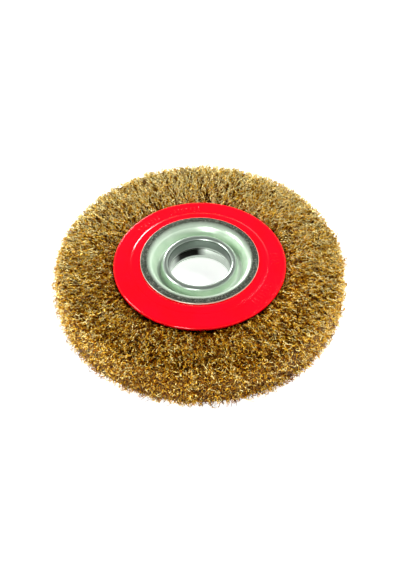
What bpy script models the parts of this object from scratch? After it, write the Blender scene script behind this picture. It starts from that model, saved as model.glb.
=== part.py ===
"""Crimped-wire wheel brush with a plain bore, for a bench grinder.

Crimped wires are folded round a core ring and clamped between two pressed side plates. Two pressed hub
cups hold the plates, roll over into the lips of the bore and meet in its middle. The wheel's axis is Z and
its middle is the origin. Lengths are in metres. What is described for the front, at +Z, is mirrored to the
rear.
"""

import math
import random

import bmesh
import bpy

# The whole wheel
WHEEL_RADIUS = 0.075
FACE_WIDTH = 0.025
BORE_RADIUS = 0.016
FIT = 0.0003  # left open between pieces that touch
ROUND_STEPS = 36

# Hub cup, one pressing of even thickness
CUP_SHEET = 0.0009
HUB_WIDTH = 0.0192  # over the two flanges
FLANGE_RADIUS = 0.0304
FLANGE_SHARE = 0.354  # of the cup's breadth from the bore to the flange's edge, as the next three are
WALL_SHARE = 0.201  # how far the trough's outer wall leans in on its way down
FLOOR_SHARE = 0.194
LIP_SHARE = 0.167
WALL_BEND = 0.0018
FLOOR_BEND = 0.0009
LIP_DROP = 0.0020  # from the flange down to the crest of the lip

# Core ring between the two trough floors
RING_THICKNESS = 0.003

# Side plate, with a raised middle and a rim turned down onto the wires
PLATE_SHEET = 0.001
PLATE_RADIUS = 0.0445
PLATE_RISE = 0.0005
RISE_MARGIN = 0.0016  # flat part of the raised middle that shows round the flange
RISE_BREADTH = 0.0036
RIM_DEPTH = 0.0016
RIM_BEND = 0.0008

# Wires
BUNDLES = 20
TUFTS_ACROSS = 6  # tufts side by side on a bundle
TUFT_PITCH = 0.0052  # from one row of tufts to the next
TUFT_RISE = 0.0028  # how far the longest tips stand over the packed wires
TUFT_LEAN = 0.0050  # how far they reach outwards along the face
TUFT_CROOK = 0.0012  # how far a crimp throws a tip sideways
SHORTEST_TUFT = 0.45  # as a share of the longest
UNEVEN = 0.22  # how far a tuft's corners stray, as a share of its pitch
ROOT_CLEARANCE = 0.0015  # from the packed wires to the cup's trough wall
RIM_GRIP = 0.0018  # stretch pinched by the plate's rim
SHOULDER_RADIUS = 0.060  # where the flaring wires reach their full width
CORNER_RADIUS = 0.0055

CUP_BREADTH = FLANGE_RADIUS - BORE_RADIUS
WALL_R = FLANGE_RADIUS - CUP_BREADTH * FLANGE_SHARE
FLOOR_R = WALL_R - CUP_BREADTH * WALL_SHARE
FLOOR_END_R = FLOOR_R - CUP_BREADTH * FLOOR_SHARE
RING_R = (FLOOR_R + FLOOR_END_R) / 2
RING_REACH = RING_THICKNESS / 2 / math.cos(math.pi / 6)  # to the edges of its six-sided section
FLANGE_Z = HUB_WIDTH / 2 - CUP_SHEET / 2
FLOOR_Z = RING_THICKNESS / 2 + FIT + CUP_SHEET / 2
MIDDLE_Z = HUB_WIDTH / 2 - CUP_SHEET - FIT - PLATE_SHEET / 2
OUTER_Z = MIDDLE_Z - PLATE_RISE
GRIP_Z = OUTER_Z + PLATE_SHEET / 2 - RIM_DEPTH - FIT
PACKED_Z = OUTER_Z - PLATE_SHEET / 2 - FIT


def material(name, colour, metallic, roughness):
    made = bpy.data.materials.new(name)
    made.use_nodes = True
    shader = made.node_tree.nodes["Principled BSDF"]
    shader.inputs["Base Color"].default_value = (*colour, 1.0)
    shader.inputs["Metallic"].default_value = metallic
    shader.inputs["Roughness"].default_value = roughness
    made.diffuse_color = (*colour, 1.0)
    return made


def add_piece(name, bm, finish, crease=math.radians(38)):
    """Turns a closed bmesh into an object of its own, shaded smooth up to the crease angle."""
    bmesh.ops.recalc_face_normals(bm, faces=bm.faces)
    if bm.calc_volume(signed=True) < 0:
        bmesh.ops.reverse_faces(bm, faces=bm.faces)
    mesh = bpy.data.meshes.new(name)
    bm.to_mesh(mesh)
    bm.free()
    mesh.materials.append(finish)
    mesh.shade_smooth()
    mesh.set_sharp_from_angle(angle=crease)
    piece = bpy.data.objects.new(name, mesh)
    bpy.context.scene.collection.objects.link(piece)
    return piece


def bend(before, corner, after, radius, steps):
    """Points of the arc that rounds a corner, no longer than half of either side."""
    arms = []
    for other in (before, after):
        length = math.dist(corner, other)
        arms.append(((other[0] - corner[0]) / length, (other[1] - corner[1]) / length, length))
    (ax, az, a_length), (bx, bz, b_length) = arms
    half = math.acos(max(-1.0, min(1.0, ax * bx + az * bz))) / 2
    back = min(radius / math.tan(half), 0.499 * a_length, 0.499 * b_length)
    radius = back * math.tan(half)
    to_centre = radius / math.sin(half)
    mx, mz = ax + bx, az + bz
    m_length = math.hypot(mx, mz)
    centre = (corner[0] + mx / m_length * to_centre, corner[1] + mz / m_length * to_centre)
    start = math.atan2(corner[1] + az * back - centre[1], corner[0] + ax * back - centre[0])
    end = math.atan2(corner[1] + bz * back - centre[1], corner[0] + bx * back - centre[0])
    turn = (end - start + math.pi) % (2 * math.pi) - math.pi
    angles = [start + turn * step / steps for step in range(steps + 1)]
    return [(centre[0] + radius * math.cos(a), centre[1] + radius * math.sin(a)) for a in angles]


def rounded(corners, bends):
    """An open outline with some corners rounded. bends gives (radius, steps) by the corner's number."""
    points = []
    for number, corner in enumerate(corners):
        if number in bends:
            points += bend(corners[number - 1], corner, corners[number + 1], *bends[number])
        else:
            points.append(corner)
    return points


def sheet_section(middle, thickness):
    """The closed section of a sheet that follows a middle line of (radius, height) points."""
    sides = ([], [])
    for number, (radius, height) in enumerate(middle):
        before = middle[max(number - 1, 0)]
        after = middle[min(number + 1, len(middle) - 1)]
        legs = []
        for start, end in ((before, (radius, height)), ((radius, height), after)):
            length = math.dist(start, end)
            if length:
                legs.append(((end[1] - start[1]) / length, (start[0] - end[0]) / length))
        nx = sum(leg[0] for leg in legs)
        nz = sum(leg[1] for leg in legs)
        length = math.hypot(nx, nz)
        nx, nz = nx / length, nz / length
        offset = thickness / 2 / (nx * legs[0][0] + nz * legs[0][1])
        for side, sign in zip(sides, (1, -1)):
            side.append((radius + sign * nx * offset, height + sign * nz * offset))
    return sides[0] + sides[1][::-1]


def turned(name, section, finish, mirrored=False):
    """Spins a closed (radius, height) section once round the wheel's axis."""
    bm = bmesh.new()
    sign = -1 if mirrored else 1
    corners = [bm.verts.new((radius, 0, sign * height)) for radius, height in section]
    edges = [bm.edges.new((a, b)) for a, b in zip(corners, corners[1:] + corners[:1])]
    bmesh.ops.spin(
        bm,
        geom=corners + edges,
        axis=(0, 0, 1),
        cent=(0, 0, 0),
        steps=ROUND_STEPS,
        angle=2 * math.pi,
        use_merge=True,
    )
    bmesh.ops.remove_doubles(bm, verts=bm.verts, dist=1e-6)
    return add_piece(name, bm, finish)


def cup_line():
    """Middle of the cup's sheet: flange, trough wall, trough floor, lip and half of the bore's lining."""
    leg_r = BORE_RADIUS + CUP_SHEET / 2
    lip_breadth = CUP_BREADTH * LIP_SHARE
    lip_z = FLANGE_Z - LIP_DROP
    corners = [
        (FLANGE_RADIUS, FLANGE_Z),
        (WALL_R, FLANGE_Z),
        (FLOOR_R, FLOOR_Z),
        (FLOOR_END_R, FLOOR_Z),
        (leg_r + lip_breadth, lip_z),
        (leg_r, lip_z),
        (leg_r, FIT / 2),
    ]
    lip_bend = (lip_breadth / 2, 2)
    return rounded(
        corners, {1: (WALL_BEND, 2), 2: (FLOOR_BEND, 1), 3: (FLOOR_BEND, 1), 4: lip_bend, 5: lip_bend}
    )


def cup_outside(height):
    """Radius of the back of the trough wall at a height."""
    lean = (WALL_R - FLOOR_R) / (FLANGE_Z - FLOOR_Z)
    return WALL_R - (FLANGE_Z - height) * lean + CUP_SHEET / 2 * math.hypot(1, lean)


def plate_line():
    """Middle of the plate's sheet, from the hole round the cup's bend out to the turned-down rim."""
    corner = math.pi / 2 + math.atan2(WALL_R - FLOOR_R, FLANGE_Z - FLOOR_Z)
    bend_reach = WALL_BEND / math.tan(corner / 2)
    rise_r = FLANGE_RADIUS + RISE_MARGIN
    rim_r = PLATE_RADIUS - PLATE_SHEET / 2
    corners = [
        (WALL_R + bend_reach + FIT, MIDDLE_Z),
        (rise_r, MIDDLE_Z),
        (rise_r + RISE_BREADTH, OUTER_Z),
        (rim_r, OUTER_Z),
        (rim_r, OUTER_Z + PLATE_SHEET / 2 - RIM_DEPTH),
    ]
    return rounded(corners, {3: (RIM_BEND, 2)})


def ring_section():
    """A six-sided section of the core ring, flat where it meets the trough floors."""
    angles = [math.pi / 3 * side for side in range(6)]
    return [(RING_R + RING_REACH * math.cos(a), RING_REACH * math.sin(a)) for a in angles]


def exposed_rows():
    """Rows across a bundle from the plate's rim to the middle of the wheel's face.

    Each is (radius, height, outward direction) on the surface that the tufts stand on.
    """
    throat = (PLATE_RADIUS + FIT, GRIP_Z)
    face_z = FACE_WIDTH / 2 - TUFT_RISE
    rim_r = WHEEL_RADIUS - TUFT_RISE
    corner_r = rim_r - CORNER_RADIUS
    corner_z = face_z - CORNER_RADIUS
    lean = math.atan2(face_z - throat[1], SHOULDER_RADIUS - throat[0])
    flare_steps = max(2, round(math.dist(throat, (SHOULDER_RADIUS, face_z)) / TUFT_PITCH))
    flat_steps = max(1, round((corner_r - SHOULDER_RADIUS) / TUFT_PITCH))
    corner_steps = max(1, round(math.pi / 2 * CORNER_RADIUS / TUFT_PITCH))
    rim_steps = max(1, round(corner_z / TUFT_PITCH))
    rows = []
    for step in range(flare_steps):
        part = step / flare_steps
        radius = throat[0] + (SHOULDER_RADIUS - throat[0]) * part
        rows.append((radius, throat[1] + (face_z - throat[1]) * part, math.pi / 2 + lean))
    for step in range(flat_steps):
        radius = SHOULDER_RADIUS + (corner_r - SHOULDER_RADIUS) * step / flat_steps
        rows.append((radius, face_z, math.pi / 2))
    for step in range(corner_steps + 1):
        turn = math.pi / 2 * (1 - step / corner_steps)
        radius = corner_r + CORNER_RADIUS * math.cos(turn)
        rows.append((radius, corner_z + CORNER_RADIUS * math.sin(turn), turn))
    for step in range(1, rim_steps + 1):
        rows.append((rim_r, corner_z * (1 - step / rim_steps), 0.0))
    return rows


def half_angle(radius):
    """Half of a bundle's sector, less half of the gap to the next bundle."""
    return math.pi / BUNDLES - math.asin(FIT / 2 / radius)


def polar(centre_angle, radius, across, height):
    angle = centre_angle + across * half_angle(radius)
    return (radius * math.cos(angle), radius * math.sin(angle), height)


def tuft_row(centre_angle, rows, number, rng):
    """Corners of the tufts along one row. Those inside the bundle stray, so that no ring of them shows."""
    radius, height, _ = rows[number]
    points = []
    for column in range(TUFTS_ACROSS + 1):
        across = 2 * column / TUFTS_ACROSS - 1
        stray_out = stray_across = 0.0
        if 0 < column < TUFTS_ACROSS and number:
            stray_out = rng.uniform(-UNEVEN, UNEVEN)
            stray_across = rng.uniform(-UNEVEN, UNEVEN) * 2 / TUFTS_ACROSS
        other = rows[number + 1] if stray_out > 0 else rows[number - 1]
        share = abs(stray_out)
        at_radius = radius + (other[0] - radius) * share
        at_height = height + (other[1] - height) * share
        points.append(polar(centre_angle, at_radius, across + stray_across, at_height))
    return points


def tuft_tip(near, far, column, swing, rng, centre_angle):
    """The tip of the tuft that stands on one cell between two rows, trimmed to the wheel's size."""
    facing = near[2] if near[2] > math.pi / 2 else (near[2] + far[2]) / 2
    length = 1.0 if column == TUFTS_ACROSS // 2 else rng.uniform(SHORTEST_TUFT, 1.0)
    rise = TUFT_RISE * length
    reach = TUFT_LEAN * length * math.sin(facing) ** 2
    radius = (near[0] + far[0]) / 2 + rise * math.cos(facing) + reach * math.sin(facing)
    height = (near[1] + far[1]) / 2 + rise * math.sin(facing) - reach * math.cos(facing)
    radius = min(radius, WHEEL_RADIUS)
    height = min(height, FACE_WIDTH / 2)
    crook = swing * rng.uniform(0.3, 1.0) * TUFT_CROOK / radius / half_angle(radius)
    return polar(centre_angle, radius, (2 * column + 1) / TUFTS_ACROSS - 1 + crook, height)


def wire_bundle(name, index, finish):
    """One bundle of wires: packed at the root between the plates, loose tufts outside them."""
    rng = random.Random(index % (BUNDLES // 4 or 1))
    centre_angle = 2 * math.pi * index / BUNDLES
    bm = bmesh.new()

    def mirrored_pair(points):
        return [[bm.verts.new((x, y, side * z)) for x, y, z in points] for side in (1, -1)]

    def across(radius, height, steps):
        return [polar(centre_angle, radius, 2 * step / steps - 1, height) for step in range(steps + 1)]

    fold_r = (RING_R + RING_REACH + FIT) / math.cos(math.pi / BUNDLES)
    packed_r = cup_outside(PACKED_Z) + ROOT_CLEARANCE
    grip_r = PLATE_RADIUS - RIM_GRIP
    root = [
        (fold_r, RING_THICKNESS / 2),
        (packed_r, PACKED_Z),
        (grip_r, PACKED_Z),
        (grip_r + PACKED_Z - GRIP_Z, GRIP_Z),
    ]
    rows = exposed_rows()
    pairs = [mirrored_pair(across(radius, height, 1)) for radius, height in root]
    pairs += [mirrored_pair(tuft_row(centre_angle, rows, number, rng)) for number in range(len(rows) - 1)]
    middle = [bm.verts.new(point) for point in across(rows[-1][0], 0, TUFTS_ACROSS)]
    pairs.append([middle, middle])

    (front, rear), *_ = pairs
    bm.faces.new((front[0], front[1], rear[1], rear[0]))
    for near, far in zip(pairs[: len(root)], pairs[1:]):
        for side in (0, 1):
            bm.faces.new(near[side][::-1] + far[side])
    for number, (near, far) in enumerate(zip(pairs[len(root) :], pairs[len(root) + 1 :])):
        for column in range(TUFTS_ACROSS):
            swing = (-1) ** (number + column // 2)
            tip_at = tuft_tip(rows[number], rows[number + 1], column, swing, rng, centre_angle)
            for side, (tip,) in enumerate(mirrored_pair([tip_at])):
                low, high = near[side][column : column + 2], far[side][column : column + 2]
                corners = [low[0], low[1], high[1], high[0]]
                for start, end in zip(corners, corners[1:] + corners[:1]):
                    bm.faces.new((start, end, tip))
    for end in (0, -1):
        for near, far in zip(pairs, pairs[1:]):
            corners = [near[0][end], far[0][end], far[1][end], near[1][end]]
            bm.faces.new(dict.fromkeys(corners))
    return add_piece(name, bm, finish, crease=math.radians(20))


def main():
    for thing in list(bpy.data.objects):
        bpy.data.objects.remove(thing)
    red_paint = material("red_gloss_paint", (0.9, 0.01, 0.02), 0.0, 0.3)
    zinc_plate = material("bright_zinc_plate", (0.62, 0.66, 0.63), 1.0, 0.25)
    core_steel = material("core_steel", (0.35, 0.35, 0.36), 1.0, 0.5)
    brass_wire = material("brass_coated_wire", (0.55, 0.38, 0.16), 1.0, 0.4)
    for side, mirrored in (("front", False), ("rear", True)):
        turned(f"{side}_hub_cup", sheet_section(cup_line(), CUP_SHEET), zinc_plate, mirrored)
        turned(f"{side}_side_plate", sheet_section(plate_line(), PLATE_SHEET), red_paint, mirrored)
    turned("core_ring", ring_section(), core_steel)
    for index in range(BUNDLES):
        wire_bundle(f"wire_bundle_{index + 1:02d}", index, brass_wire)


main()
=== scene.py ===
import math

import bmesh
import bpy
import numpy as np
from mathutils import Matrix, Vector


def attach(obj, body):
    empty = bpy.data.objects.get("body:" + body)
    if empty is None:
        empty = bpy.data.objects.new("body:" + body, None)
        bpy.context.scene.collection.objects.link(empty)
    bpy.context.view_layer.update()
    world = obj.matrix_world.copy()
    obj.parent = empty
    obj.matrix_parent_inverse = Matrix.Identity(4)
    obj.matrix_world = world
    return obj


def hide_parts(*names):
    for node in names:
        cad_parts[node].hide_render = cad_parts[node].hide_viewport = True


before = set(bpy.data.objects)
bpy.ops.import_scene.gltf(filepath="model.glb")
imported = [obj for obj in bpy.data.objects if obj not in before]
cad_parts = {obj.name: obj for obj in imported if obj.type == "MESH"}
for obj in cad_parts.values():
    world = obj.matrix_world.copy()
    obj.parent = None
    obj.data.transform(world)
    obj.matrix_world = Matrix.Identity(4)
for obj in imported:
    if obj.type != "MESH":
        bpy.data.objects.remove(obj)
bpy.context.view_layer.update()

MM = 0.001

# The photograph's frame and where the wheel sits in it
PHOTO_SIZE = (400, 570)
WHEEL_AT = (199.7, 271.1)  # pixel of the wheel's middle
FOCAL_PIXELS = 822.6
CAMERA_ELEVATION = math.radians(47.49)
CAMERA_ROLL = math.radians(-0.94)
CAMERA_DISTANCE = 0.429
CAMERA_CLIP = (0.01, 20)  # nearest and furthest that it sees

ROUND = 168  # steps round a turned piece

# Hub cup's middle line and sheet, with corners as in the CAD and a rounder bend at the flange
CUP_SHEET = 0.9 * MM
CUP_CORNERS = [  # (radius, height)
    (30.4 * MM, 9.15 * MM),  # cut edge of the flange
    (25.3 * MM, 9.15 * MM),  # into the trough's leaning wall
    (22.4 * MM, 2.25 * MM),  # trough floor
    (19.6 * MM, 2.25 * MM),
    (18.85 * MM, 7.15 * MM),  # over the bore's lip
    (16.45 * MM, 7.15 * MM),
    (16.45 * MM, 0.15 * MM),  # cut edge in the middle of the bore
]
CUP_BENDS = {  # corner's number: (radius of the bend, steps in it)
    1: (3.2 * MM, 8),
    2: (0.9 * MM, 4),
    3: (0.9 * MM, 4),
    4: (1.2 * MM, 6),
    5: (1.2 * MM, 6),
}

# Side plate's middle line and sheet, with the CAD's radii and a softer step
PLATE_SHEET = 1.0 * MM
PLATE_CORNERS = [
    (27.0 * MM, 7.9 * MM),  # hole round the cup
    (32.0 * MM, 7.9 * MM),  # slow fall off the raised middle, then a short step
    (34.8 * MM, 7.75 * MM),
    (35.7 * MM, 7.4 * MM),
    (44.0 * MM, 7.4 * MM),  # rim turned down onto the wires
    (44.0 * MM, 6.3 * MM),
]
PLATE_BENDS = {
    1: (6 * MM, 4),
    2: (0.5 * MM, 4),
    3: (0.5 * MM, 4),
    4: (0.8 * MM, 6),
}

# Softened cut edges of both pressings
EDGE_ROUND = 0.2 * MM
EDGE_STEPS = 3
EDGE_ANGLE = math.radians(60)
SMOOTH_ANGLE = math.radians(50)

# Plain raised ticks pressed into the plate's outer ring: (first angle, last angle) of each row in degrees
TICK_ROWS = [(-47, -22), (-4, 8), (90, 115), (124, 146)]
TICK_STEP = 3.2  # degrees from one tick to the next
TICK_SIZE = (3.2 * MM, 0.55 * MM, 0.36 * MM)
TICK_ROUND = 0.12 * MM
TICK_RADIUS = 38.7 * MM
TICK_HEIGHT = 7.86 * MM

# Where the hub cup's finish changes. Each change is a fade between two radii or two heights.
BORE_ENDS = (16.15 * MM, 16.4 * MM)  # from the bore's wall to the lip
LIP_STARTS = (5.2 * MM, 6.4 * MM)  # height up the lip, on either cup
LIP_ENDS = (19.4 * MM, 20.4 * MM)  # from the lip down into the trough
LIP_RUBBED = 0.8  # how far the lip is rubbed bare
FLANGE_STARTS = (25.2 * MM, 27.5 * MM)  # from the trough's bend to the flat flange
FLANGE_ENDS = (30.15 * MM, 30.3 * MM)  # from the scuffed flat, painted dark, to its cut edge
JOINT_STARTS = (1.6 * MM, 0.8 * MM)  # down the bore, where the front cup's leg, painted darker, ends and the painted dark reflection starts
DARK_REFLECTION_ENDS = (-5.0 * MM, -4.4 * MM)  # the lowest that the painted dark reflection reaches in the bore
DARK_REFLECTION_TOWARDS = math.radians(112)  # the painted dark reflection lies on the bore's far side, a little to the left
DARK_REFLECTION_STARTS = (13.0 * MM, 15.2 * MM)  # distance from the axis towards that side

# Sockets of a Mix node that mixes colours
MIX_FIRST = 6
MIX_SECOND = 7
MIX_RESULT = 2

# Wires
WIRE_SEED = 7
SECTORS = 5
WIRES_PER_SECTOR = 4600
BUNDLES_PER_SECTOR = 4  # of the frame's wire bundles, which the sector stands for
WIRE_SIDES = 3
WIRE_RADIUS = 0.24 * MM  # drawn thicker than the real 0.15 mm, so that it shows in the render
CRIMP_PITCH = 2.4 * MM
CRIMP_HEIGHT = 0.55 * MM
CRIMP_STEPS = 6  # half waves in the modelled length
CRIMP_SHARES = (0.7, 1.5)  # least and most of the modelled crimp that a copy has
LENGTH_SHARES = (0.85, 1.1)  # least and most of the modelled length that a long copy has
SHORTEST_WIRE = 3.5 * MM
INNERMOST_ROOT = 43.5 * MM  # all but the shortest reach in no further than this, under the plates' rims
ROOT_SHARES = (0.8, 1.0)  # how near its tip's share of the breadth a root lies
LEAN_UP = np.radians(15)  # spread of the wires' leans, towards a face
LEAN_ROUND = np.radians(23)  # and round the wheel
FILL_DEPTH = 1.6 * MM  # how far most tips lie under the fill's outside
RIM_RADII = (66 * MM, 74 * MM)  # between these the tips come to lie closer to the outside
RIM_DEPTHS = (1.0, 0.8)  # shares of their depth at those radii
REAR_FACE = -11.9 * MM  # the fill below this height lies on the table
REAR_SHARE = 0.7  # how densely it is filled there, against the rest
LINE_POINTS = 400  # points along FILL_LINE that measure its area
SLOPE_REACH = 0.2  # share of a FILL_LINE step either way over which its slope is taken

# Stray wires, which stand proud of the fill
STRAY_SHARE = 0.13
STRAY_PROUD = 2.2 * MM
STRAY_REACH = 77.2 * MM  # the furthest from the axis that any wire gets
STRAY_LEAN = 1.6  # times the lean of the others
STRAY_THICKNESS = 0.7

# Tufts that the fill bunches into
TUFTS = [(29, 0.4), (43, 2.1), (67, 4.0), (101, 5.2)]  # (number round the wheel, phase) of the fill's waves
TUFT_TWIST = 160  # radians of phase for each metre of height
TUFT_SCALE = 2.5  # brings the sum of the waves to about -1 to 1
TUFT_DEPTH = 0.35 * MM  # half of the depth of the hollows between tufts
TUFT_LEAN = np.radians(6)
TUFT_AHEAD = 0.03  # radians between a tuft's crown and its strongest lean

HALF_FACE = 12.5 * MM  # half of the wheel's breadth, as in the CAD
CLEAR_RADII = (45 * MM, 51 * MM)  # from under the plates' rims to where the wires are free to fan out
CLEAR_HEIGHTS = (5.9 * MM, HALF_FACE)  # the furthest that they get from the middle at those radii
FLARE = [  # (radius, half of the breadth) that the fanned wires fill
    (40.0 * MM, 5.2 * MM),
    (44.5 * MM, 5.2 * MM),
    (48.0 * MM, 6.8 * MM),
    (54.0 * MM, 9.4 * MM),
    (61.0 * MM, 11.4 * MM),
    (75.0 * MM, 12.5 * MM),
]
# (radius, height) of the wires' dense outside, from the front plate's rim to the rear one's. The tips splay a
# little where they rest on the table, and any past HALF_FACE are trimmed to it.
FILL_LINE = [
    (45.2 * MM, 4.8 * MM),
    (48.5 * MM, 6.4 * MM),
    (53.0 * MM, 8.6 * MM),
    (58.0 * MM, 10.3 * MM),
    (64.0 * MM, 11.7 * MM),
    (69.5 * MM, 12.0 * MM),
    (73.2 * MM, 11.0 * MM),
    (75.0 * MM, 7.5 * MM),
    (75.5 * MM, 2.0 * MM),
    (76.0 * MM, -8.0 * MM),
    (76.4 * MM, -13.2 * MM),
    (70.0 * MM, -13.0 * MM),
    (64.0 * MM, -12.2 * MM),
    (58.0 * MM, -10.6 * MM),
    (53.0 * MM, -8.9 * MM),
    (48.5 * MM, -6.6 * MM),
    (45.2 * MM, -4.8 * MM),
]

# Tones of the wires, from 0, dark bronze, to 1, pale gold
TONE_RADII = (46 * MM, 58 * MM, 74 * MM)
TONE_OUTWARD = (0.82, 1.04, 1.13)  # tones at those radii: painted shade, darker near the plates' rims and lighter towards the rim
TONE_FAR = 0.38  # painted light and shade: lighter by this at the far side of the wheel and darker by it at the near one
TONE_DEPTH = 0.25  # painted shade: darker by this where a tip lies FILL_DEPTH under the outside
TONE_THIN = 1.2  # darker by this times the share that a wire is thinner
TONE_BY_WIRE = 0.18  # spread from wire to wire
TONE_BY_BEND = 0.52  # spread from bend to bend of a wire, at random, which stands in for glints: painted highlights and shade

# The wires' bake map: its margin, what the tones and the wires take up of it, and a step between edges
MAP_MARGIN = 0.01
MAP_TONES = 0.97
MAP_WIRES = 0.96
MAP_STEP_ACROSS = 0.002
MAP_STEP_UP = 0.005

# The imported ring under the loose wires
CORE_INSET = 2.2 * MM
CORE_HOLE = 43.0 * MM
CORE_RIM_FROM = 60 * MM  # further out than this, the ring is set in from the rim too
CORE_BREADTH = 11 * MM  # half of the breadth from which the inset is a share

# Studio
ROOM_HEIGHTS = (0.3, 0.55)  # sines of the angles of height between which the room turns from white to dim
ROOM_DIM = 0.1
TABLE_SIZE = 4.0
TABLE_GAP = 0.02 * MM  # between the table and the trimmed tips
TABLE_GLOW = 0.75  # white added to the table where it is seen, directly or in gloss
LAMPS = [  # (name, place, size, watts, whether gloss mirrors it)
    ("key", (0.5, 0.42, 0.8), 0.6, 21.0, False),  # mirrored, it would wash out the flat plate and flange
    ("back", (-0.4, 0.95, 0.36), 0.34, 4.0, True),
    ("front", (-0.35, -0.98, 0.4), 0.35, 7.0, True),
    ("side", (-0.95, -0.1, 0.45), 0.5, 6.0, True),
]


# Nodes and materials


def linear(code):
    """A linear colour from its sRGB hex value."""
    channels = [int(code[at : at + 2], 16) / 255 for at in (1, 3, 5)]
    return (*[c / 12.92 if c <= 0.04045 else ((c + 0.055) / 1.055) ** 2.4 for c in channels], 1.0)


def add_node(tree, kind, inputs=None, stops=None, **settings):
    """Adds a node. Stops are a colour ramp's places and hex values. An input is set to a number or colour, or
    linked to the output that it is given."""
    node = tree.nodes.new("ShaderNode" + kind)
    for name, value in settings.items():
        setattr(node, name, value)
    if stops:
        ramp = node.color_ramp
        while len(ramp.elements) < len(stops):
            ramp.elements.new(0.5)
        for element, (position, code) in zip(ramp.elements, stops):
            element.position = position
            element.color = linear(code)
    for name, value in (inputs or {}).items():
        if isinstance(value, bpy.types.NodeSocket):
            tree.links.new(value, node.inputs[name])
        else:
            node.inputs[name].default_value = value
    return node


def new_material(name):
    """A new material and its node tree, emptied."""
    made = bpy.data.materials.new(name)
    made.use_nodes = True
    tree = made.node_tree
    tree.nodes.clear()
    return made, tree


def stoved_red_paint():
    """Red gloss stoving paint on pressed steel: bright and even, with a faint orange peel under the gloss."""
    made, tree = new_material("stoved_red_paint")
    place = add_node(tree, "TexCoord").outputs["Object"]
    cloud = add_node(tree, "TexNoise", {"Vector": place, "Scale": 90.0, "Detail": 2.0})  # 11 mm drifts
    colour = add_node(
        tree, "ValToRGB", {"Fac": cloud.outputs["Fac"]}, stops=[(0.3, "#f20012"), (0.7, "#fc0018")]
    )
    peel = add_node(tree, "TexNoise", {"Vector": place, "Scale": 700.0, "Detail": 1.0})  # 1.4 mm peel
    bump = add_node(tree, "Bump", {"Height": peel.outputs["Fac"], "Strength": 0.07, "Distance": 0.05 * MM})
    shader = add_node(
        tree,
        "BsdfPrincipled",
        {
            "Base Color": colour.outputs["Color"],
            "Roughness": 0.13,
            "Normal": bump.outputs["Normal"],
        },
    )
    add_node(tree, "OutputMaterial", {"Surface": shader.outputs["BSDF"]})
    return made


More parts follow.
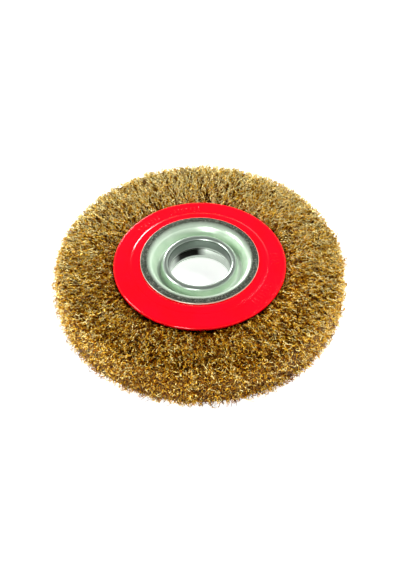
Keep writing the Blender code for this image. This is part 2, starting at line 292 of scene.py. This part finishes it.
def zinc_plating():
    """Bright zinc plating with a pale green passivation: satin in the trough, rubbed bare over the lip and in
    the bore, which is painted darker on the front cup's leg, with a painted dark reflection on one side where
    the two cups meet, scuffed dull and speckled on the flat flange, painted dark there as the dim room that
    it mirrors, and worn bright along the flange's cut edge."""
    made, tree = new_material("zinc_plating")
    place = add_node(tree, "TexCoord").outputs["Object"]
    axes = add_node(tree, "SeparateXYZ", {"Vector": place})
    height = axes.outputs["Z"]
    flat = add_node(tree, "CombineXYZ", {"X": axes.outputs["X"], "Y": axes.outputs["Y"]})
    radius = add_node(tree, "VectorMath", {0: flat.outputs["Vector"]}, operation="LENGTH").outputs["Value"]

    # Masks of the bore, the lip and the dull flat of the flange
    start, end = BORE_ENDS
    bore = add_node(
        tree,
        "MapRange",
        {"Value": radius, "From Min": start, "From Max": end, "To Min": 1.0, "To Max": 0.0},
    )
    start, end = LIP_STARTS
    level = add_node(tree, "Math", {0: height}, operation="ABSOLUTE")
    over = add_node(
        tree, "MapRange", {"Value": level.outputs["Value"], "From Min": start, "From Max": end}
    )
    start, end = LIP_ENDS
    within = add_node(
        tree,
        "MapRange",
        {"Value": radius, "From Min": start, "From Max": end, "To Min": LIP_RUBBED, "To Max": 0.0},
    )
    lip = add_node(
        tree, "Math", {0: over.outputs["Result"], 1: within.outputs["Result"]}, operation="MULTIPLY"
    )
    start, end = FLANGE_STARTS
    flange = add_node(tree, "MapRange", {"Value": radius, "From Min": start, "From Max": end})
    start, end = FLANGE_ENDS
    edge = add_node(tree, "MapRange", {"Value": radius, "From Min": start, "From Max": end})
    dull = add_node(
        tree,
        "Math",
        {0: flange.outputs["Result"], 1: edge.outputs["Result"]},
        operation="SUBTRACT",
        use_clamp=True,
    )

    # Colours over the flange, lip and trough
    speckle = add_node(tree, "TexNoise", {"Vector": place, "Scale": 1500.0, "Detail": 3.0})  # 0.7 mm speckle
    # The flange's speckled scuffing, in dark colours that are painted: a dark reflection of the dim room it
    # mirrors
    scuffed_and_painted_dark = add_node(
        tree,
        "ValToRGB",
        {"Fac": speckle.outputs["Fac"]},
        stops=[(0.34, "#353a30"), (0.55, "#50554a"), (0.7, "#989d8e")],
    )
    drift = add_node(tree, "TexNoise", {"Vector": place, "Scale": 160.0, "Detail": 2.0})  # 6 mm clouds
    bright = add_node(
        tree, "ValToRGB", {"Fac": drift.outputs["Fac"]}, stops=[(0.3, "#cde4cb"), (0.7, "#dcedd8")]
    )
    polished = add_node(
        tree,
        "Mix",
        {
            "Factor": lip.outputs["Value"],
            MIX_FIRST: bright.outputs["Color"],
            MIX_SECOND: linear("#cbd8cc"),
        },
        data_type="RGBA",
    )
    outer = add_node(
        tree,
        "Mix",
        {
            "Factor": dull.outputs["Value"],
            MIX_FIRST: polished.outputs[MIX_RESULT],
            MIX_SECOND: scuffed_and_painted_dark.outputs["Color"],
        },
        data_type="RGBA",
    )

    # Colours in the bore: painted reflections, darker on the front cup's leg than below it, and a painted
    # dark reflection round the joint of the two cups on one side
    side = (math.cos(DARK_REFLECTION_TOWARDS), math.sin(DARK_REFLECTION_TOWARDS), 0.0)
    towards = add_node(tree, "VectorMath", {0: place, 1: side}, operation="DOT_PRODUCT")
    start, end = DARK_REFLECTION_STARTS
    patch = add_node(
        tree, "MapRange", {"Value": towards.outputs["Value"], "From Min": start, "From Max": end}
    )
    start, end = JOINT_STARTS
    below = add_node(tree, "MapRange", {"Value": height, "From Min": start, "From Max": end})
    start, end = DARK_REFLECTION_ENDS
    above = add_node(tree, "MapRange", {"Value": height, "From Min": start, "From Max": end})
    joint = add_node(
        tree, "Math", {0: below.outputs["Result"], 1: above.outputs["Result"]}, operation="MULTIPLY"
    )
    dark_reflection = add_node(
        tree, "Math", {0: patch.outputs["Result"], 1: joint.outputs["Value"]}, operation="MULTIPLY"
    )
    # Painted reflections: darker down the front cup's leg, lighter below the joint
    leg_painted_reflections = add_node(
        tree,
        "Mix",
        {"Factor": below.outputs["Result"], MIX_FIRST: linear("#5c685e"), MIX_SECOND: linear("#c0cabf")},
        data_type="RGBA",
    )
    # A painted dark reflection over the bore's bare metal, on one side round the joint
    bare_bore_with_painted_reflections = add_node(
        tree,
        "Mix",
        {
            "Factor": dark_reflection.outputs["Value"],
            MIX_FIRST: leg_painted_reflections.outputs[MIX_RESULT],
            MIX_SECOND: linear("#0b0c08"),
        },
        data_type="RGBA",
    )
    colour = add_node(
        tree,
        "Mix",
        {
            "Factor": bore.outputs["Result"],
            MIX_FIRST: outer.outputs[MIX_RESULT],
            MIX_SECOND: bare_bore_with_painted_reflections.outputs[MIX_RESULT],
        },
        data_type="RGBA",
    )

    roughness = add_node(
        tree, "MapRange", {"Value": dull.outputs["Value"], "To Min": 0.29, "To Max": 0.38}
    )
    handled = add_node(
        tree, "Math", {0: bore.outputs["Result"], 1: lip.outputs["Value"]}, operation="MAXIMUM"
    )
    bare = add_node(tree, "MapRange", {"Value": handled.outputs["Value"], "To Min": 0.6, "To Max": 1.0})
    bump = add_node(tree, "Bump", {"Height": speckle.outputs["Fac"], "Strength": 0.1, "Distance": 0.03 * MM})
    shader = add_node(
        tree,
        "BsdfPrincipled",
        {
            "Base Color": colour.outputs[MIX_RESULT],
            "Metallic": bare.outputs["Result"],
            "Roughness": roughness.outputs["Result"],
            "Normal": bump.outputs["Normal"],
        },
    )
    add_node(tree, "OutputMaterial", {"Surface": shader.outputs["BSDF"]})
    return made


def brass_coated_wire():
    """Drawn steel wire with a thin brass coat, tarnished unevenly from wire to wire. Each bend of a wire has
    its own tone, from pale gold to dark bronze, in which glints, light and shade are painted."""
    made, tree = new_material("brass_coated_wire")
    tone = add_node(tree, "Attribute", attribute_name="wire_tone")
    colour = add_node(
        tree,
        "ValToRGB",
        {"Fac": tone.outputs["Fac"]},
        stops=[(0.0, "#4a1a00"), (0.3, "#9a5802"), (0.55, "#dca224"), (0.8, "#fdd254"), (1.0, "#ffeea6")],
    )
    place = add_node(tree, "TexCoord").outputs["Object"]
    tarnish = add_node(tree, "TexNoise", {"Vector": place, "Scale": 900.0, "Detail": 2.0})  # 1.1 mm patches
    patch = add_node(
        tree,
        "MapRange",
        {"Value": tarnish.outputs["Fac"], "From Min": 0.3, "From Max": 0.7, "To Min": 0.18, "To Max": 0.32},
    )
    shader = add_node(
        tree,
        "BsdfPrincipled",
        {
            "Base Color": colour.outputs["Color"],
            "Metallic": 0.65,
            "Roughness": patch.outputs["Result"],
            "Specular IOR Level": 0.06,
            "Specular Tint": linear("#e0b060"),
        },
    )
    add_node(tree, "OutputMaterial", {"Surface": shader.outputs["BSDF"]})
    return made


def packed_wire():
    """Wires deep in the fill, where little light gets: dark bronze strands, wavy as the crimp makes them."""
    made, tree = new_material("packed_wire")
    place = add_node(tree, "TexCoord").outputs["Object"]
    strands = add_node(  # 0.9 mm apart, coarser than the real wires, so that they show
        tree, "TexNoise", {"Vector": place, "Scale": 1100.0, "Detail": 2.0, "Distortion": 1.5}
    )
    colour = add_node(
        tree,
        "ValToRGB",
        {"Fac": strands.outputs["Fac"]},
        stops=[(0.42, "#1c0a00"), (0.52, "#5a3608"), (0.62, "#b08434")],
    )
    bump = add_node(tree, "Bump", {"Height": strands.outputs["Fac"], "Strength": 0.8, "Distance": 0.5 * MM})
    shader = add_node(
        tree,
        "BsdfPrincipled",
        {
            "Base Color": colour.outputs["Color"],
            "Metallic": 0.8,
            "Roughness": 0.5,
            "Specular IOR Level": 0.15,
            "Normal": bump.outputs["Normal"],
        },
    )
    add_node(tree, "OutputMaterial", {"Surface": shader.outputs["BSDF"]})
    return made


def drawn_steel():
    """Plain drawn steel of the core ring, matt grey with a fine grain."""
    made, tree = new_material("drawn_steel")
    place = add_node(tree, "TexCoord").outputs["Object"]
    grain = add_node(tree, "TexNoise", {"Vector": place, "Scale": 2000.0, "Detail": 2.0})  # 0.5 mm grain
    colour = add_node(
        tree, "ValToRGB", {"Fac": grain.outputs["Fac"]}, stops=[(0.3, "#77777a"), (0.7, "#9a9a9c")]
    )
    shader = add_node(
        tree,
        "BsdfPrincipled",
        {"Base Color": colour.outputs["Color"], "Metallic": 1.0, "Roughness": 0.45},
    )
    add_node(tree, "OutputMaterial", {"Surface": shader.outputs["BSDF"]})
    return made


# Modelling


def start_piece(name):
    """Names the primitive just added, moves its place into its mesh and opens it for editing, selected."""
    piece = bpy.context.object
    piece.name = piece.data.name = name
    bpy.ops.object.transform_apply(location=True, rotation=True, scale=True)
    bpy.ops.object.mode_set(mode="EDIT")
    bpy.ops.mesh.select_mode(type="VERT")
    bpy.ops.mesh.select_all(action="SELECT")
    return piece


def close_piece(merge=None):
    """Merges doubled points where it is told to, turns all faces outwards and leaves edit mode."""
    bpy.ops.mesh.select_all(action="SELECT")
    if merge:
        bpy.ops.mesh.remove_doubles(threshold=merge)
    bpy.ops.mesh.normals_make_consistent(inside=False)
    bpy.ops.object.mode_set(mode="OBJECT")


def turned_line(name, line):
    """Starts a turned piece: a circle extruded ring by ring along a line of (radius, height)."""
    bpy.ops.object.select_all(action="DESELECT")
    bpy.ops.mesh.primitive_circle_add(vertices=ROUND, radius=line[0][0], location=(0, 0, line[0][1]))
    piece = start_piece(name)
    for (radius, height), (next_radius, next_height) in zip(line, line[1:]):
        share = next_radius / radius
        bpy.ops.mesh.extrude_region_move()
        bpy.ops.transform.resize(value=(share, share, 1), center_override=(0, 0, 0))
        bpy.ops.transform.translate(value=(0, 0, next_height - height))
    return piece


def select_ring(piece, radius, height, slack=0.02 * MM):
    """Selects the ring of edges at one radius and height."""
    bm = bmesh.from_edit_mesh(piece.data)
    for face in bm.faces:
        face.select_set(False)
    for edge in bm.edges:
        edge.select_set(False)
    for vert in bm.verts:
        near = abs(math.hypot(vert.co.x, vert.co.y) - radius) < slack and abs(vert.co.z - height) < slack
        vert.select_set(near)
    bm.select_flush(True)
    bmesh.update_edit_mesh(piece.data)


def turned_sheet(name, corners, bends, thickness, finish):
    """A round pressing: its middle line turned and bent at the corners, then its thickness and soft edges."""
    piece = turned_line(name, corners)
    for number, (radius, segments) in bends.items():
        before, corner, after = (Vector(corners[number + step]) for step in (-1, 0, 1))
        half = (before - corner).angle(after - corner) / 2
        select_ring(piece, *corners[number])
        bpy.ops.mesh.bevel(offset=radius / math.tan(half), segments=segments, affect="EDGES")
    close_piece(merge=0.001 * MM)
    sheet = piece.modifiers.new("sheet", "SOLIDIFY")
    sheet.thickness = thickness
    sheet.offset = 0
    sheet.use_even_offset = True
    bpy.ops.object.modifier_apply(modifier=sheet.name)
    edge = piece.modifiers.new("edge", "BEVEL")
    edge.width = EDGE_ROUND
    edge.segments = EDGE_STEPS
    edge.limit_method = "ANGLE"
    edge.angle_limit = EDGE_ANGLE
    bpy.ops.object.modifier_apply(modifier=edge.name)
    bpy.ops.object.shade_smooth_by_angle(angle=SMOOTH_ANGLE)
    piece.data.materials.append(finish)
    return piece


def press_ticks(plate):
    """Joins rows of plain raised ticks to the plate: one rounded bar, copied round the outer ring."""
    bpy.ops.object.select_all(action="DESELECT")
    bpy.ops.mesh.primitive_cube_add(size=1, scale=TICK_SIZE)
    tick = start_piece("tick")
    bpy.ops.mesh.bevel(offset=TICK_ROUND, segments=2, affect="EDGES")
    bpy.ops.object.mode_set(mode="OBJECT")
    bpy.ops.object.shade_smooth()
    tick.data.materials.append(plate.data.materials[0])
    for first, last in TICK_ROWS:
        for number in range(int((last - first) / TICK_STEP) + 1):
            angle = math.radians(first + number * TICK_STEP)
            copy = tick.copy()
            copy.data = tick.data.copy()
            turn = Matrix.Rotation(angle, 4, "Z")
            copy.data.transform(turn @ Matrix.Translation((TICK_RADIUS, 0, TICK_HEIGHT)))
            bpy.context.scene.collection.objects.link(copy)
            copy.select_set(True)
    tick.select_set(False)
    plate.select_set(True)
    bpy.context.view_layer.objects.active = plate
    bpy.ops.object.join()
    bpy.data.objects.remove(tick)


def turned_over(piece, name):
    """A copy with its own mesh, turned half round so that the front pressing becomes the rear one."""
    bpy.ops.object.select_all(action="DESELECT")
    piece.select_set(True)
    bpy.context.view_layer.objects.active = piece
    bpy.ops.object.duplicate()
    copy = bpy.context.object
    copy.name = copy.data.name = name
    copy.rotation_euler = (math.pi, 0, 0)
    bpy.ops.object.transform_apply(location=False, rotation=True, scale=False)
    return copy


def packed_core(finish):
    """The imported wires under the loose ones: a ring that follows the fill's outside a little way in."""
    breadth = 1 - CORE_INSET / CORE_BREADTH
    line = [(r - (CORE_INSET if r > CORE_RIM_FROM else 0), z * breadth) for r, z in FILL_LINE]
    line = [(CORE_HOLE, line[0][1])] + line + [(CORE_HOLE, line[-1][1])]
    piece = turned_line("packed_wires", line + line[:1])
    close_piece(merge=0.01 * MM)
    bpy.ops.object.shade_smooth()
    piece.data.materials.append(finish)
    return piece


def crimped_wire():
    """One short length of three-sided wire, crimped from side to side in X as it runs up Z."""
    bpy.ops.object.select_all(action="DESELECT")
    bpy.ops.mesh.primitive_circle_add(vertices=WIRE_SIDES, radius=WIRE_RADIUS, fill_type="NGON")
    wire = start_piece("crimped_wire")
    side = 0.0
    for step in range(CRIMP_STEPS):
        throw = CRIMP_HEIGHT * (1 if step % 2 else -1)
        bpy.ops.mesh.extrude_region_move()
        bpy.ops.transform.translate(value=(throw - side, 0, CRIMP_PITCH / 2))
        side = throw
    close_piece()
    return wire


# Filling the wheel with copies of the wire


def fill_points(count, rng):
    """Points on the fill's outside with the direction outwards there, spread over its area. The rear, which
    lies on the table, gets fewer."""
    line = np.array(FILL_LINE)
    steps = np.linspace(0, len(line) - 1, LINE_POINTS)
    radius = np.interp(steps, range(len(line)), line[:, 0])
    height = np.interp(steps, range(len(line)), line[:, 1])
    area = np.hypot(np.diff(radius), np.diff(height)) * (radius[1:] + radius[:-1]) / 2
    area[height[1:] < REAR_FACE] *= REAR_SHARE
    along = np.concatenate([[0], np.cumsum(area)]) / area.sum()
    at = np.interp(rng.uniform(0, 1, count), along, steps)
    on, off = at + SLOPE_REACH, at - SLOPE_REACH
    r_rise = np.interp(on, steps, radius) - np.interp(off, steps, radius)
    z_rise = np.interp(on, steps, height) - np.interp(off, steps, height)
    out = np.stack([-z_rise, r_rise], axis=1)
    out /= np.linalg.norm(out, axis=1, keepdims=True)
    return np.interp(at, steps, radius), np.interp(at, steps, height), out


def tufting(angle, height):
    """How the fill bunches into tufts: a slow wave round the wheel, about -1 to 1."""
    waves = sum(np.sin(count * angle + phase + TUFT_TWIST * height) for count, phase in TUFTS)
    return waves / TUFT_SCALE


def swung_round(vectors, angle):
    """The vectors, each turned by its own angle round the wheel's axis."""
    cos, sin = np.cos(angle), np.sin(angle)
    x, y, z = vectors.T
    return np.stack([x * cos - y * sin, x * sin + y * cos, z], axis=1)


def wire_places(count, start_angle, spread, rng):
    """Where the copies of the wire go, each with its shares of length, crimp and thickness and its depth."""
    # Tips: most a little way under the fill's outside, stray ones proud of it
    tip_r, tip_z, out = fill_points(count, rng)
    angle = start_angle + rng.uniform(0, spread, count)
    hollow = TUFT_DEPTH * (1 - tufting(angle, tip_z))
    depth = np.interp(tip_r, RIM_RADII, RIM_DEPTHS) * np.abs(rng.normal(0, FILL_DEPTH, count))
    stray = rng.uniform(0, 1, count) < STRAY_SHARE
    depth = np.where(stray, -rng.uniform(0, STRAY_PROUD, count), depth + hollow)
    tip_r = tip_r - out[:, 0] * depth
    tip_z = tip_z - out[:, 1] * depth

    # Directions: fanned out from the plates as the flare is, then leaning at random and with the tufts
    full = CRIMP_STEPS * CRIMP_PITCH / 2
    longest = full * rng.uniform(*LENGTH_SHARES, count)
    length = np.clip(tip_r - INNERMOST_ROOT, SHORTEST_WIRE, longest)
    flare = np.array(FLARE)
    root_r = tip_r - length
    level = tip_z / np.interp(tip_r, *flare.T)
    root_z = level * np.interp(root_r, *flare.T) * rng.uniform(*ROOT_SHARES, count)
    loose = np.where(stray, STRAY_LEAN, 1.0)
    pitch = np.arctan2(tip_z - root_z, tip_r - root_r) + loose * rng.normal(0, LEAN_UP, count)
    sway = TUFT_LEAN * tufting(angle + TUFT_AHEAD, tip_z)
    yaw = loose * rng.normal(0, LEAN_ROUND, count) + sway
    along = np.stack([np.cos(pitch) * np.cos(yaw), np.cos(pitch) * np.sin(yaw), np.sin(pitch)], axis=1)
    root = np.stack([tip_r, np.zeros(count), tip_z], axis=1) - along * length[:, None]

    # The crimp's side, turned at random about each wire
    roll = rng.uniform(0, 2 * np.pi, count)
    spare = np.cross(along, [0, 0, 1.0])
    spare /= np.linalg.norm(spare, axis=1, keepdims=True)
    other = np.cross(along, spare)
    side = spare * np.cos(roll)[:, None] + other * np.sin(roll)[:, None]

    crimp = rng.uniform(*CRIMP_SHARES, count)
    thick = np.where(stray, STRAY_THICKNESS, 1.0)
    root, along, side = (swung_round(vectors, angle) for vectors in (root, along, side))
    return root, along, side, length / full, crimp, thick, depth.clip(0) / FILL_DEPTH


def wire_points(base, root, along, side, length_share, crimp_share, thick):
    """The points of all copies, kept within the strays' reach, under the plates' rims and inside the face."""
    middle = np.repeat(base.reshape(-1, WIRE_SIDES, 3).mean(1), WIRE_SIDES, axis=0)
    girth = (base - middle)[None] * thick[:, None, None]
    other = np.cross(along, side)
    points = (
        root[:, None]
        + (middle[None, :, 0:1] * crimp_share[:, None, None] + girth[..., 0:1]) * side[:, None]
        + girth[..., 1:2] * other[:, None]
        + middle[None, :, 2:3] * (along * length_share[:, None])[:, None]
    ).reshape(-1, 3)
    radius = np.hypot(points[:, 0], points[:, 1])
    points[:, :2] *= np.minimum(1, STRAY_REACH / radius)[:, None]
    highest = np.interp(radius, CLEAR_RADII, CLEAR_HEIGHTS)
    points[:, 2] = np.clip(points[:, 2], -highest, highest)
    return points


def copied_mesh(name, mesh, points):
    """One mesh of all the copies, whose points are given, and the point at each of its faces' corners."""
    corners = np.empty(len(mesh.loops), int)
    mesh.loops.foreach_get("vertex_index", corners)
    starts = np.empty(len(mesh.polygons), int)
    mesh.polygons.foreach_get("loop_start", starts)
    count = len(points) // len(mesh.vertices)
    copies = np.arange(count)[:, None]
    corners_at = (corners + copies * len(mesh.vertices)).ravel()
    made = bpy.data.meshes.new(name)
    made.vertices.add(len(points))
    made.vertices.foreach_set("co", points.ravel())
    made.loops.add(len(corners_at))
    made.loops.foreach_set("vertex_index", corners_at)
    made.polygons.add(count * len(starts))
    made.polygons.foreach_set("loop_start", (starts + copies * len(corners)).ravel())
    made.update(calc_edges=True)
    made.validate()
    return made, corners_at


def wire_tones(points, depth, thick, rng):
    """A tone for each point, the same for the points of one bend, with light and shade painted into it."""
    bends = points.reshape(len(depth), -1, WIRE_SIDES, 3).mean(2)
    radius = np.hypot(bends[..., 0], bends[..., 1])
    # Painted light and shade: darker near the plates and lighter out at the rim, lighter at the far side and
    # darker at the near one
    tones = np.interp(radius, TONE_RADII, TONE_OUTWARD) + TONE_FAR * bends[..., 1] / radius
    # Painted shade: darker where a tip lies deep in the fill. The thinner strays are darker too.
    tones = tones - TONE_DEPTH * depth[:, None] - TONE_THIN * (1 - thick[:, None])
    # Random tone from wire to wire, and from bend to bend a random spread that stands in for glints: painted
    # highlights and shade
    tones += rng.normal(0, TONE_BY_WIRE, (len(depth), 1)) + rng.normal(0, TONE_BY_BEND, tones.shape)
    return np.repeat(np.clip(tones, 0, 1).ravel(), WIRE_SIDES)


def bake_places(tones, count):
    """Each point's place on a map for baking: tone across, wires one above another, and a step between a
    wire's three edges, so that every face has some width and faces that share a spot also share its tone."""
    edges = np.tile(np.arange(WIRE_SIDES), len(tones) // WIRE_SIDES)
    rows = np.repeat(np.arange(count) / count, len(tones) // count)
    across = MAP_MARGIN + MAP_TONES * tones + MAP_STEP_ACROSS * edges
    up = MAP_MARGIN + MAP_WIRES * rows + MAP_STEP_UP * edges
    return np.stack([across, up], axis=1)


def wire_fill(name, wire, start_angle, spread, finish, rng):
    """Copies the crimped wire over one sector of the fill, as one mesh of its own."""
    base = np.empty(len(wire.data.vertices) * 3)
    wire.data.vertices.foreach_get("co", base)
    *places, thick, depth = wire_places(WIRES_PER_SECTOR, start_angle, spread, rng)
    points = wire_points(base.reshape(-1, 3), *places, thick)
    made, corners_at = copied_mesh(name, wire.data, points)
    tones = wire_tones(points, depth, thick, rng)
    made.attributes.new("wire_tone", "FLOAT", "POINT").data.foreach_set("value", tones)
    baked = bake_places(tones, WIRES_PER_SECTOR)[corners_at]
    made.uv_layers.new(name="OFBake").data.foreach_set("uv", baked.ravel())
    made.materials.append(finish)
    piece = bpy.data.objects.new(name, made)
    bpy.context.scene.collection.objects.link(piece)
    return piece


# Studio


def camera():
    """Looks at the wheel from the photograph's place, with the wheel's middle at its pixel."""
    width, height = PHOTO_SIZE
    place = CAMERA_DISTANCE * Vector((0, -math.cos(CAMERA_ELEVATION), math.sin(CAMERA_ELEVATION)))
    data = bpy.data.cameras.new("camera")
    data.lens = FOCAL_PIXELS * data.sensor_width / height
    data.clip_start, data.clip_end = CAMERA_CLIP
    made = bpy.data.objects.new("camera", data)
    turn = (-place).to_track_quat("-Z", "Y") @ Matrix.Rotation(CAMERA_ROLL, 3, "Z").to_quaternion()
    off = Vector((WHEEL_AT[0] - width / 2, height / 2 - WHEEL_AT[1], -FOCAL_PIXELS))
    nudge = off.rotation_difference(Vector((0, 0, -FOCAL_PIXELS)))
    made.rotation_mode = "QUATERNION"
    made.rotation_quaternion = turn @ nudge
    made.location = place
    bpy.context.scene.collection.objects.link(made)
    bpy.context.scene.camera = made


def room():
    """A room that is white low down, where a table's sweep would be, and dim above."""
    world = bpy.data.worlds.new("studio")
    bpy.context.scene.world = world
    world.use_nodes = True
    tree = world.node_tree
    tree.nodes.clear()
    level = add_node(tree, "SeparateXYZ", {"Vector": add_node(tree, "TexCoord").outputs["Generated"]})
    start, end = ROOM_HEIGHTS
    light = add_node(
        tree,
        "MapRange",
        {"Value": level.outputs["Z"], "From Min": start, "From Max": end, "To Min": 1.0, "To Max": ROOM_DIM},
        interpolation_type="SMOOTHSTEP",
    )
    white = add_node(
        tree, "Background", {"Color": linear("#ffffff"), "Strength": light.outputs["Result"]}
    )
    add_node(tree, "OutputWorld", {"Surface": white.outputs["Background"]})


def table():
    """A matt white table under the wheel, which shows white and still takes the wheel's shadow."""
    bpy.ops.object.select_all(action="DESELECT")
    bpy.ops.mesh.primitive_plane_add(size=TABLE_SIZE, location=(0, 0, -HALF_FACE - TABLE_GAP))
    floor = bpy.context.object
    floor.name = "floor"
    finish, tree = new_material("white_table")
    path = add_node(tree, "LightPath")
    seen = add_node(
        tree, "Math", {0: path.outputs["Is Camera Ray"], 1: path.outputs["Is Glossy Ray"]}, operation="ADD"
    )
    shown = add_node(
        tree,
        "Math",
        {0: seen.outputs["Value"], 1: path.outputs["Is Transmission Ray"]},
        operation="ADD",
        use_clamp=True,
    )
    lift = add_node(
        tree, "MapRange", {"Value": shown.outputs["Value"], "To Min": 0.0, "To Max": TABLE_GLOW}
    )
    matt = add_node(tree, "BsdfDiffuse", {"Color": linear("#f4f4f4")})
    glow = add_node(tree, "Emission", {"Color": linear("#ffffff"), "Strength": lift.outputs["Result"]})
    both = add_node(tree, "AddShader", {0: matt.outputs["BSDF"], 1: glow.outputs["Emission"]})
    add_node(tree, "OutputMaterial", {"Surface": both.outputs["Shader"]})
    floor.data.materials.append(finish)


def soft_lamp(name, place, size, watts, mirrored):
    """A round soft box that faces the wheel."""
    data = bpy.data.lights.new(name, "AREA")
    data.shape = "DISK"
    data.size = size
    data.energy = watts
    lamp = bpy.data.objects.new(name, data)
    lamp.location = place
    lamp.rotation_euler = (-Vector(place)).to_track_quat("-Z", "Y").to_euler()
    lamp.visible_glossy = mirrored
    bpy.context.scene.collection.objects.link(lamp)


def main():
    """Makes the pieces that stand for the frame's pressings and wires, then the camera and the studio."""
    zinc = zinc_plating()
    cup = turned_sheet("hub_cup_front", CUP_CORNERS, CUP_BENDS, CUP_SHEET, zinc)
    red = stoved_red_paint()
    plate = turned_sheet("side_plate_front", PLATE_CORNERS, PLATE_BENDS, PLATE_SHEET, red)
    press_ticks(plate)
    pressings = {
        "front_hub_cup": cup,
        "rear_hub_cup": turned_over(cup, "hub_cup_rear"),
        "front_side_plate": plate,
        "rear_side_plate": turned_over(plate, "side_plate_rear"),
    }
    for node, piece in pressings.items():
        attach(piece, "root")
        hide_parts(node)

    core = packed_core(packed_wire())
    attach(core, "root")

    brass = brass_coated_wire()
    wire = crimped_wire()
    rng = np.random.default_rng(WIRE_SEED)
    sector = 2 * math.pi / SECTORS
    for number in range(SECTORS):
        start = number * sector - sector / 2 / BUNDLES_PER_SECTOR
        fill = wire_fill(f"crimped_wires_{number + 1}", wire, start, sector, brass, rng)
        first = number * BUNDLES_PER_SECTOR + 1
        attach(fill, "root")
        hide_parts(*[f"wire_bundle_{first + step:02d}" for step in range(BUNDLES_PER_SECTOR)])
    bpy.data.objects.remove(wire)

    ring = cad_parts["core_ring"]
    ring.material_slots[0].material = drawn_steel()

    camera()
    room()
    table()
    for lamp in LAMPS:
        soft_lamp(*lamp)
    bpy.context.scene.view_settings.view_transform = "Standard"


main()
